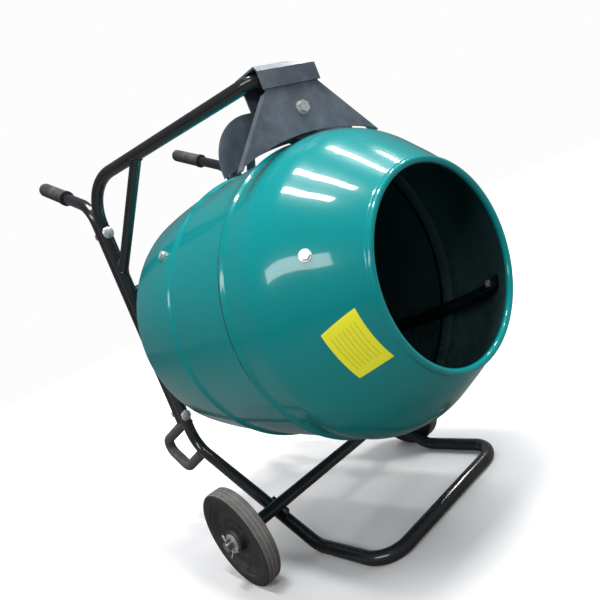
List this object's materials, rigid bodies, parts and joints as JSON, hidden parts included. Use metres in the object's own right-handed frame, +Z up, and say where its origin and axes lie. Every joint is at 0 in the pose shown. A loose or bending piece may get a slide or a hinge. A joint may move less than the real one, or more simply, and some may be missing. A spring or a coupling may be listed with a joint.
{
  "type": "concrete mixer",
  "caption": "Tilted-drum concrete mixer: steel drum with inner paddles on a geared motor, in a two-wheeled tube frame with handles, rest loops and a guide roller bracket.",
  "frame": {"origin": "on the ground, under the middle of the whole machine's bounding box", "axes": "+Z up, +X towards the drum mouth, +Y to the left of the machine; wheels and foot bar stand on Z = 0"},
  "size_m": [0.9177, 0.6159, 0.9655],
  "materials": {
    "drum_paint": "gloss teal green paint",
    "paddle_paint": "dark green paint, dulled",
    "frame_paint": "gloss black paint",
    "bracket_paint": "satin dark grey-blue paint",
    "grip_rubber": "matt",
    "sleeve_rubber": "matt",
    "tyre_rubber": "matt, dusty",
    "wheel_plastic": "matt dark grey",
    "zinc": "bright zinc plate",
    "bare_steel": "turned",
    "bush_brass": "turned",
    "cast_aluminium": "as cast",
    "lamination": "varnished laminations",
    "fan_plastic": "matt black",
    "box_plastic": "satin black",
    "start_green": "gloss green",
    "stop_red": "gloss red",
    "label_yellow": "printed film",
    "sealant": "rough dark bead"
  },
  "bodies": {
    "frame": {"axle_bar": "bare_steel", "axle_saddles": "frame_paint", "axle_tube": "frame_paint", "bearings": "bare_steel", "braces": "frame_paint", "bracket_front_plate": "bracket_paint", "bracket_rear_plate": "bracket_paint", "cable_gland": "fan_plastic", "crossbars": "frame_paint", "fan_cover": "frame_paint", "frame_fasteners": "zinc", "gearbox_cover": "cast_aluminium", "gearbox_housing": "cast_aluminium", "grip_left": "grip_rubber", "grip_right": "grip_rubber", "handle_tube_left": "frame_paint", "handle_tube_right": "frame_paint", "housing_bolts": "zinc", "mast_tube": "frame_paint", "motor_case": "cast_aluminium", "motor_front_shield": "cast_aluminium", "motor_plate": "frame_paint", "motor_rear_shield": "cast_aluminium", "rest_loop_sleeves": "sleeve_rubber", "rest_loops": "frame_paint", "roller_bolt": "zinc", "shaft_seals": "sealant", "split_pins": "zinc", "stand_tube": "frame_paint", "stator": "lamination", "switch_block": "fan_plastic", "switch_box": "box_plastic", "switch_box_lid": "box_plastic", "top_cap": "bracket_paint", "wheel_washers": "zinc"},
    "drum": {"drum_front_shell": "drum_paint", "drum_rear_shell": "drum_paint", "drum_seam": "sealant", "label": "label_yellow", "mixing_paddles": "paddle_paint", "paddle_fasteners": "zinc", "hub_flange": "frame_paint", "hub_fasteners": "zinc", "output_shaft": "bare_steel", "output_gear": "bare_steel"},
    "layshaft": {"layshaft": "bare_steel", "lay_gear": "bare_steel"},
    "rotor": {"rotor_shaft": "bare_steel", "rotor_core": "lamination", "cooling_fan": "fan_plastic"},
    "roller": {"guide_roller": "bracket_paint", "roller_bush": "bush_brass"},
    "wheel_left": {"wheel_tyre_left": "tyre_rubber", "wheel_disc_left": "wheel_plastic", "wheel_bush_left": "bush_brass"},
    "wheel_right": {"wheel_tyre_right": "tyre_rubber", "wheel_disc_right": "wheel_plastic", "wheel_bush_right": "bush_brass"},
    "start_button": {"start_button": "start_green"},
    "stop_button": {"stop_button": "stop_red"}
  },
  "joints": [
    {"name": "drum_spin", "type": "hinge", "parent": "frame", "child": "drum", "pos_m": [0.15084, 0.02903, 0.46268], "axis": [0.9987, 0, -0.0506], "continuous": true},
    {"name": "layshaft_spin", "type": "hinge", "parent": "frame", "child": "layshaft", "pos_m": [-0.24348, 0.02903, 0.41056], "axis": [0.9987, 0, -0.0506], "continuous": true},
    {"name": "rotor_spin", "type": "hinge", "parent": "frame", "child": "rotor", "pos_m": [-0.28034, 0.08359, 0.44397], "axis": [0.9987, 0, -0.0506], "continuous": true},
    {"name": "roller_spin", "type": "hinge", "parent": "frame", "child": "roller", "pos_m": [0.26281, 0.02903, 0.77942], "axis": [0.9987, 0, -0.0506], "continuous": true},
    {"name": "wheel_left_spin", "type": "hinge", "parent": "frame", "child": "wheel_left", "pos_m": [-0.02705, 0.25203, 0.1], "axis": [0, 1, 0], "continuous": true},
    {"name": "wheel_right_spin", "type": "hinge", "parent": "frame", "child": "wheel_right", "pos_m": [-0.02705, -0.26997, 0.1], "axis": [0, 1, 0], "continuous": true},
    {"name": "start_press", "type": "slide", "parent": "frame", "child": "start_button", "axis": [-0.0506, 0, -0.9987], "range_m": [0, 0.0035], "stiffness_N_per_m": 600},
    {"name": "stop_press", "type": "slide", "parent": "frame", "child": "stop_button", "axis": [-0.0506, 0, -0.9987], "range_m": [0, 0.0035], "stiffness_N_per_m": 600}
  ],
  "couplings": [
    {"joint": "layshaft_spin", "follows": "drum_spin", "ratio": -5},
    {"joint": "rotor_spin", "follows": "drum_spin", "ratio": 30},
    {"joint": "roller_spin", "follows": "drum_spin", "ratio": -5.5386}
  ]
}
